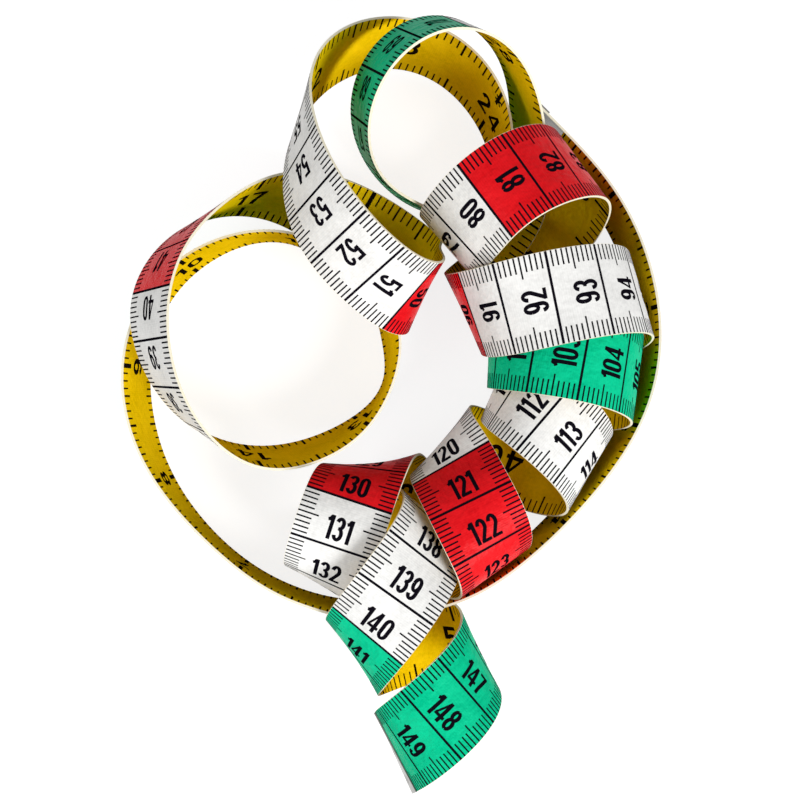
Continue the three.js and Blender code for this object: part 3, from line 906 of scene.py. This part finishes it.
@dataclass
class Coats:
    """The printed coats on the cloth: yellow on the inch face, colour bands on the other."""

    strip: Strip
    band_length: float = 100.0
    order: tuple[Band, ...] = (Band.RED, Band.WHITE, Band.GREEN, Band.WHITE)
    yellow: CoatFinish = CoatFinish("yellow_coat", (0.98, 0.66, 0.0, 1.0), roughness=0.5, gloss=0.0)

    def build(self) -> None:
        """Makes the yellow coat and then every band, each in place of its plain solid."""
        length = self.strip.length
        piece = self._coat("yellow_inch_coat", (0.0, length), Side.INCH, self.yellow.build())
        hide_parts("inch_coat")
        finishes = {band: band.value.build() for band in Band}
        for n in range(math.ceil(length / self.band_length)):
            band = self.order[n % len(self.order)]
            start = n * self.band_length
            node = f"band_{int(start / CM):03d}_{band.name.lower()}"
            stretch = (start, start + self.band_length)
            piece = self._coat(f"{node}_coat", stretch, Side.CENTIMETRE, finishes[band])
            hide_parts(node)

    def _coat(
        self, name: str, stretch: Span, side: Side, finish: bpy.types.Material
    ) -> bpy.types.Object:
        """One thin coat on the cloth.

        Args:
            name: the piece's name.
            stretch: where it begins and ends along the tape.
            side: the face that it covers.
            finish: its material.

        Returns:
            The coat.
        """
        strip = self.strip
        across = strip.coat_columns()
        inner = np.full(len(across), side.value * strip.core / 2)
        outer = inner + side.value * strip.coat
        places, faces, flat = strip.layer(*stretch, across, inner, outer)
        return make_piece(name, places, faces, flat, finish)


@dataclass
class CentimetreScale:
    """The scale on the colour bands: full lines, millimetre ticks and numerals across."""

    strip: Strip
    line: float = 0.5
    tick: float = 0.31
    short_reach: float = 3.1
    long_reach: float = 4.3
    foot: float = 1.25
    numerals: Numerals = Numerals(height=4.9, width=2.15, stem=0.78, bar=0.66, gap=0.25)
    ink: PlainFinish = PlainFinish("black_ink", (0.006, 0.005, 0.009, 1.0), roughness=0.6)

    def build(self) -> None:
        """Prints the scale."""
        strip = self.strip
        scale = Print(strip, Side.CENTIMETRE)
        for mm in range(1, int(strip.length)):
            if mm % CM == 0:
                scale.bar(mm, strip.rim, strip.width - strip.rim, self.line)
                continue
            reach = self.long_reach if mm % (CM // 2) == 0 else self.short_reach
            scale.tick(mm, reach, self.tick)
        signs: dict[str, Shape] = {}
        for cm in range(1, int(strip.length / CM)):
            corners, faces = self.numerals.line(str(cm), signs)
            along = cm * CM - self.foot - corners[:, 1]
            across = strip.width / 2 - corners[:, 0]
            scale.shape(np.stack([along, across], axis=1), faces)
        scale.build("centimetre_print", self.ink.build())


@dataclass
class InchScale:
    """The scale on the yellow face: sixteenths at both edges and numerals along.

    Each size of tick is given as how many sixteenths it stands for, its reach and its width.
    """

    strip: Strip
    inch: float = 25.4
    parts: int = 16
    ticks: tuple[tuple[int, float, float], ...] = (
        (16, 4.6, 0.95),
        (8, 4.0, 0.5),
        (4, 3.4, 0.4),
        (1, 2.7, 0.34),
    )
    numerals: Numerals = Numerals(height=5.4, width=3.5, stem=1.05, bar=0.9, gap=1.05)
    end_room: float = 0.5
    star_at: int = 24
    star: Numerals = Numerals(height=3.6, width=3.6, stem=0.5, bar=0.5, gap=0.0)
    star_drop: float = 5.1
    ink: PlainFinish = PlainFinish("brown_black_ink", (0.010, 0.006, 0.003, 1.0), roughness=0.6)

    def build(self) -> None:
        """Prints the scale."""
        strip = self.strip
        scale = Print(strip, Side.INCH)
        step = self.inch / self.parts
        for n in range(1, int(strip.length / step)):
            reach, width = next(size for every, *size in self.ticks if n % every == 0)
            scale.tick(n * step, reach, width)
        signs: dict[str, Shape] = {}
        last = int(strip.length / self.inch - self.end_room)
        for inch in range(1, last + 1):
            corners, faces = self.numerals.line(str(inch), signs)
            along = inch * self.inch + corners[:, 0]
            across = (strip.width - self.numerals.height) / 2 + corners[:, 1]
            scale.shape(np.stack([along, across], axis=1), faces)
        corners, faces = self.star.line("*", {})
        corners += (self.star_at * self.inch, strip.width - self.star_drop)
        scale.shape(corners, faces)
        scale.build("inch_print", self.ink.build())


@dataclass
class CrimpedTip:
    """A plated sheet folded round the tape's end, with pressed dents that hold it."""

    strip: Strip
    node: str
    at_start: bool
    length: float = 9.0
    front_share: float = 0.45
    sheet: float = 0.3
    clearance: float = 0.05
    dents: int = 3
    dent_radius: float = 1.1
    dent_depth: float = 0.16
    dent_round: float = 0.7
    fold_start: float = 0.4
    fold_inset: float = 0.1
    fold_reach_share: float = 0.9
    back_steps: int = 36
    front_steps: int = 24
    fold_steps: int = 9
    columns: int = 60

    def build(self, metal: bpy.types.Material) -> None:
        """Makes the tip in place of its plain solid.

        Args:
            metal: its finish.
        """
        half = self.strip.core / 2 + self.strip.coat + self.clearance
        inner, outer = self._profile(half), self._profile(half + self.sheet)
        across = np.linspace(0.0, self.strip.width, self.columns + 1)
        rings = [self._ring(inner, across, dented=False), self._ring(outer, across, dented=True)]
        flat = np.concatenate([ring[0] for ring in rings])
        heights = np.concatenate([ring[1] for ring in rings])
        places = self.strip.lay(flat, heights)
        faces = [ring[:1] + ring[:0:-1] for ring in shell_faces(len(inner), len(across))]
        if not self.at_start:
            faces = [ring[::-1] for ring in faces]
        piece = make_piece(f"crimped_{self.node}", places, faces, flat, metal)
        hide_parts(self.node)

    def _profile(self, half: float) -> np.ndarray:
        """The folded sheet seen from its side: the printed side's flap is the shorter one.

        Args:
            half: its distance from the middle of the cloth.

        Returns:
            Points as (from the tape's end, height).
        """
        back = np.linspace(self.length, self.fold_start, self.back_steps)
        front = np.linspace(self.fold_start, self.length * self.front_share, self.front_steps)
        reach = half * self.fold_reach_share
        turn = np.linspace(0, math.pi, self.fold_steps)
        fold = [(self.fold_inset - reach * math.sin(a), half * math.cos(a)) for a in turn]
        return np.array([(s, half) for s in back] + fold + [(s, -half) for s in front])

    def _ring(
        self, path: np.ndarray, across: np.ndarray, dented: bool
    ) -> tuple[np.ndarray, np.ndarray]:
        """One face of the sheet.

        Args:
            path: its folded line, seen from the side.
            across: its columns, from the lower edge.
            dented: whether the dents are pressed into it.

        Returns:
            Its flat places and heights.
        """
        along = path[:, 0].repeat(len(across))
        height = path[:, 1].repeat(len(across))
        side = np.tile(across, len(path))
        if dented:
            dent_row = self.length * self.front_share / 2
            for k in range(self.dents):
                middle = self.strip.width * (k + 0.5) / self.dents
                gap = np.hypot(along - dent_row, side - middle) / self.dent_radius
                pressed = np.clip(1 - gap**2, 0, None) ** self.dent_round
                height -= np.sign(height) * self.dent_depth * pressed
        start = along if self.at_start else self.strip.length - along
        return np.stack([start, side], axis=1), height


@dataclass
class CrimpedTips:
    """Both metal tips, of the same plated sheet, whose colour is darkened below bright nickel as painted
    shade.
    """

    strip: Strip
    # The plate's colour is far darker than bright nickel: painted shade, so that the tip's thin sliver
    # beside the strip's end reads as a dark shadow line along that edge.
    finish: PlainFinish = PlainFinish(
        "nickel_plate_darkened_as_shade", (0.27, 0.265, 0.25, 1.0), roughness=0.24, metallic=1.0, gloss=0.5, grain=0.1
    )

    def build(self) -> None:
        """Makes the tip at the zero end and then the one at the far end."""
        metal = self.finish.build()
        for node, at_start in (("zero_tip", True), ("end_tip", False)):
            CrimpedTip(self.strip, node, at_start).build(metal)


@dataclass
class Lamp:
    """One soft square lamp that faces the coil."""

    name: str
    place: tuple[float, float, float]
    power: float
    size: float

    def build(self) -> None:
        """Makes the lamp."""
        light = bpy.data.lights.new(self.name, "AREA")
        light.energy, light.size = self.power, self.size
        holder = bpy.data.objects.new(self.name, light)
        holder.location = self.place
        holder.rotation_mode = "QUATERNION"
        holder.rotation_quaternion = (-Vector(self.place)).to_track_quat("-Z", "Y")
        bpy.context.scene.collection.objects.link(holder)


@dataclass
class Studio:
    """Pale floor, soft light and the camera above the coil."""

    camera_height: float = 235.0
    camera_x: float = 1.84
    camera_y: float = 1.99
    lens: float = 47.03
    sensor: float = 36.0
    clip: Span = (0.01, 10.0)
    world: float = 0.37
    floor_size: float = 3.0
    floor_drop: float = 0.02
    floor_lift: float = 0.83
    floor_grey: float = 0.3
    floor_roughness: float = 0.9
    lamps: tuple[Lamp, ...] = (
        Lamp("key", place=(0.55, -0.48, 0.65), power=8.4, size=0.3),
        Lamp("fill", place=(-0.7, -0.4, 0.5), power=4.0, size=0.5),
    )

    def build(self) -> None:
        """Makes the camera, the floor, the lamps and the world."""
        scene = bpy.context.scene
        scene.view_settings.view_transform = "Standard"
        data = bpy.data.cameras.new("camera")
        data.lens, data.sensor_width = self.lens, self.sensor
        data.clip_start, data.clip_end = self.clip
        camera = bpy.data.objects.new("camera", data)
        camera.location = (self.camera_x * MM, self.camera_y * MM, self.camera_height * MM)
        scene.collection.objects.link(camera)
        scene.camera = camera
        self._floor()
        for lamp in self.lamps:
            lamp.build()
        self._world()

    def _seen_straight(self, tree: bpy.types.NodeTree) -> Socket:
        """A mask of what the camera sees, straight or in gloss or glass.

        Args:
            tree: the node tree that it is made in.

        Returns:
            The mask, 1 where seen.
        """
        path = tree.nodes.new("ShaderNodeLightPath")
        seen = path.outputs["Is Camera Ray"]
        for label in ("Is Glossy Ray", "Is Transmission Ray"):
            seen = math_node(tree, "MAXIMUM", seen, path.outputs[label])
        return seen

    def _floor(self) -> None:
        """A white floor under the coil that keeps its shadow."""
        mesh = bpy.data.meshes.new("floor")
        size = self.floor_size
        corners = [(-size, -size, 0), (size, -size, 0), (size, size, 0), (-size, size, 0)]
        mesh.from_pydata(corners, [], [(0, 1, 2, 3)])
        floor = bpy.data.objects.new("floor", mesh)
        floor.location.z = -self.floor_drop * MM
        material, tree, shader = new_material("white_floor")
        shader.inputs["Base Color"].default_value = (self.floor_grey,) * 3 + (1.0,)
        shader.inputs["Roughness"].default_value = self.floor_roughness
        shader.inputs["Emission Color"].default_value = WHITE_LIGHT
        glow = math_node(tree, "MULTIPLY", self._seen_straight(tree), self.floor_lift)
        feed(tree, shader.inputs["Emission Strength"], glow)
        mesh.materials.append(material)
        bpy.context.scene.collection.objects.link(floor)
        floor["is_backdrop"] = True

    def _world(self) -> None:
        """An even dim world that the camera sees as white."""
        world = bpy.data.worlds.new("world")
        bpy.context.scene.world = world
        world.use_nodes = True
        tree = world.node_tree
        ground = tree.nodes["Background"]
        ground.inputs["Color"].default_value = WHITE_LIGHT
        level = tree.nodes.new("ShaderNodeMapRange")
        level.inputs["To Min"].default_value = self.world
        level.inputs["To Max"].default_value = 1.0
        feed(tree, level.inputs["Value"], self._seen_straight(tree))
        feed(tree, ground.inputs["Strength"], level.outputs[0])


def write_size(label: str, sizes: dict[str, list]) -> None:
    """Notes the shown object's box under a label, as plain lists in metres.

    Args:
        label: what the box is of.
        sizes: the boxes noted before, which this adds to.
    """
    low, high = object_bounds()
    sizes[label] = [list(low), list(high)]


def main() -> None:
    """Builds every part of the tape and then its studio."""
    logging.basicConfig(level=logging.INFO, format="%(message)s")
    sizes: dict[str, list] = {}
    write_size("packed", sizes)
    strip = Strip()
    for kind in (WovenCloth, Coats, CentimetreScale, InchScale, CrimpedTips):
        kind(strip).build()
    Studio().build()
    write_size("dressed", sizes)


if __name__ == "__main__":
    main()
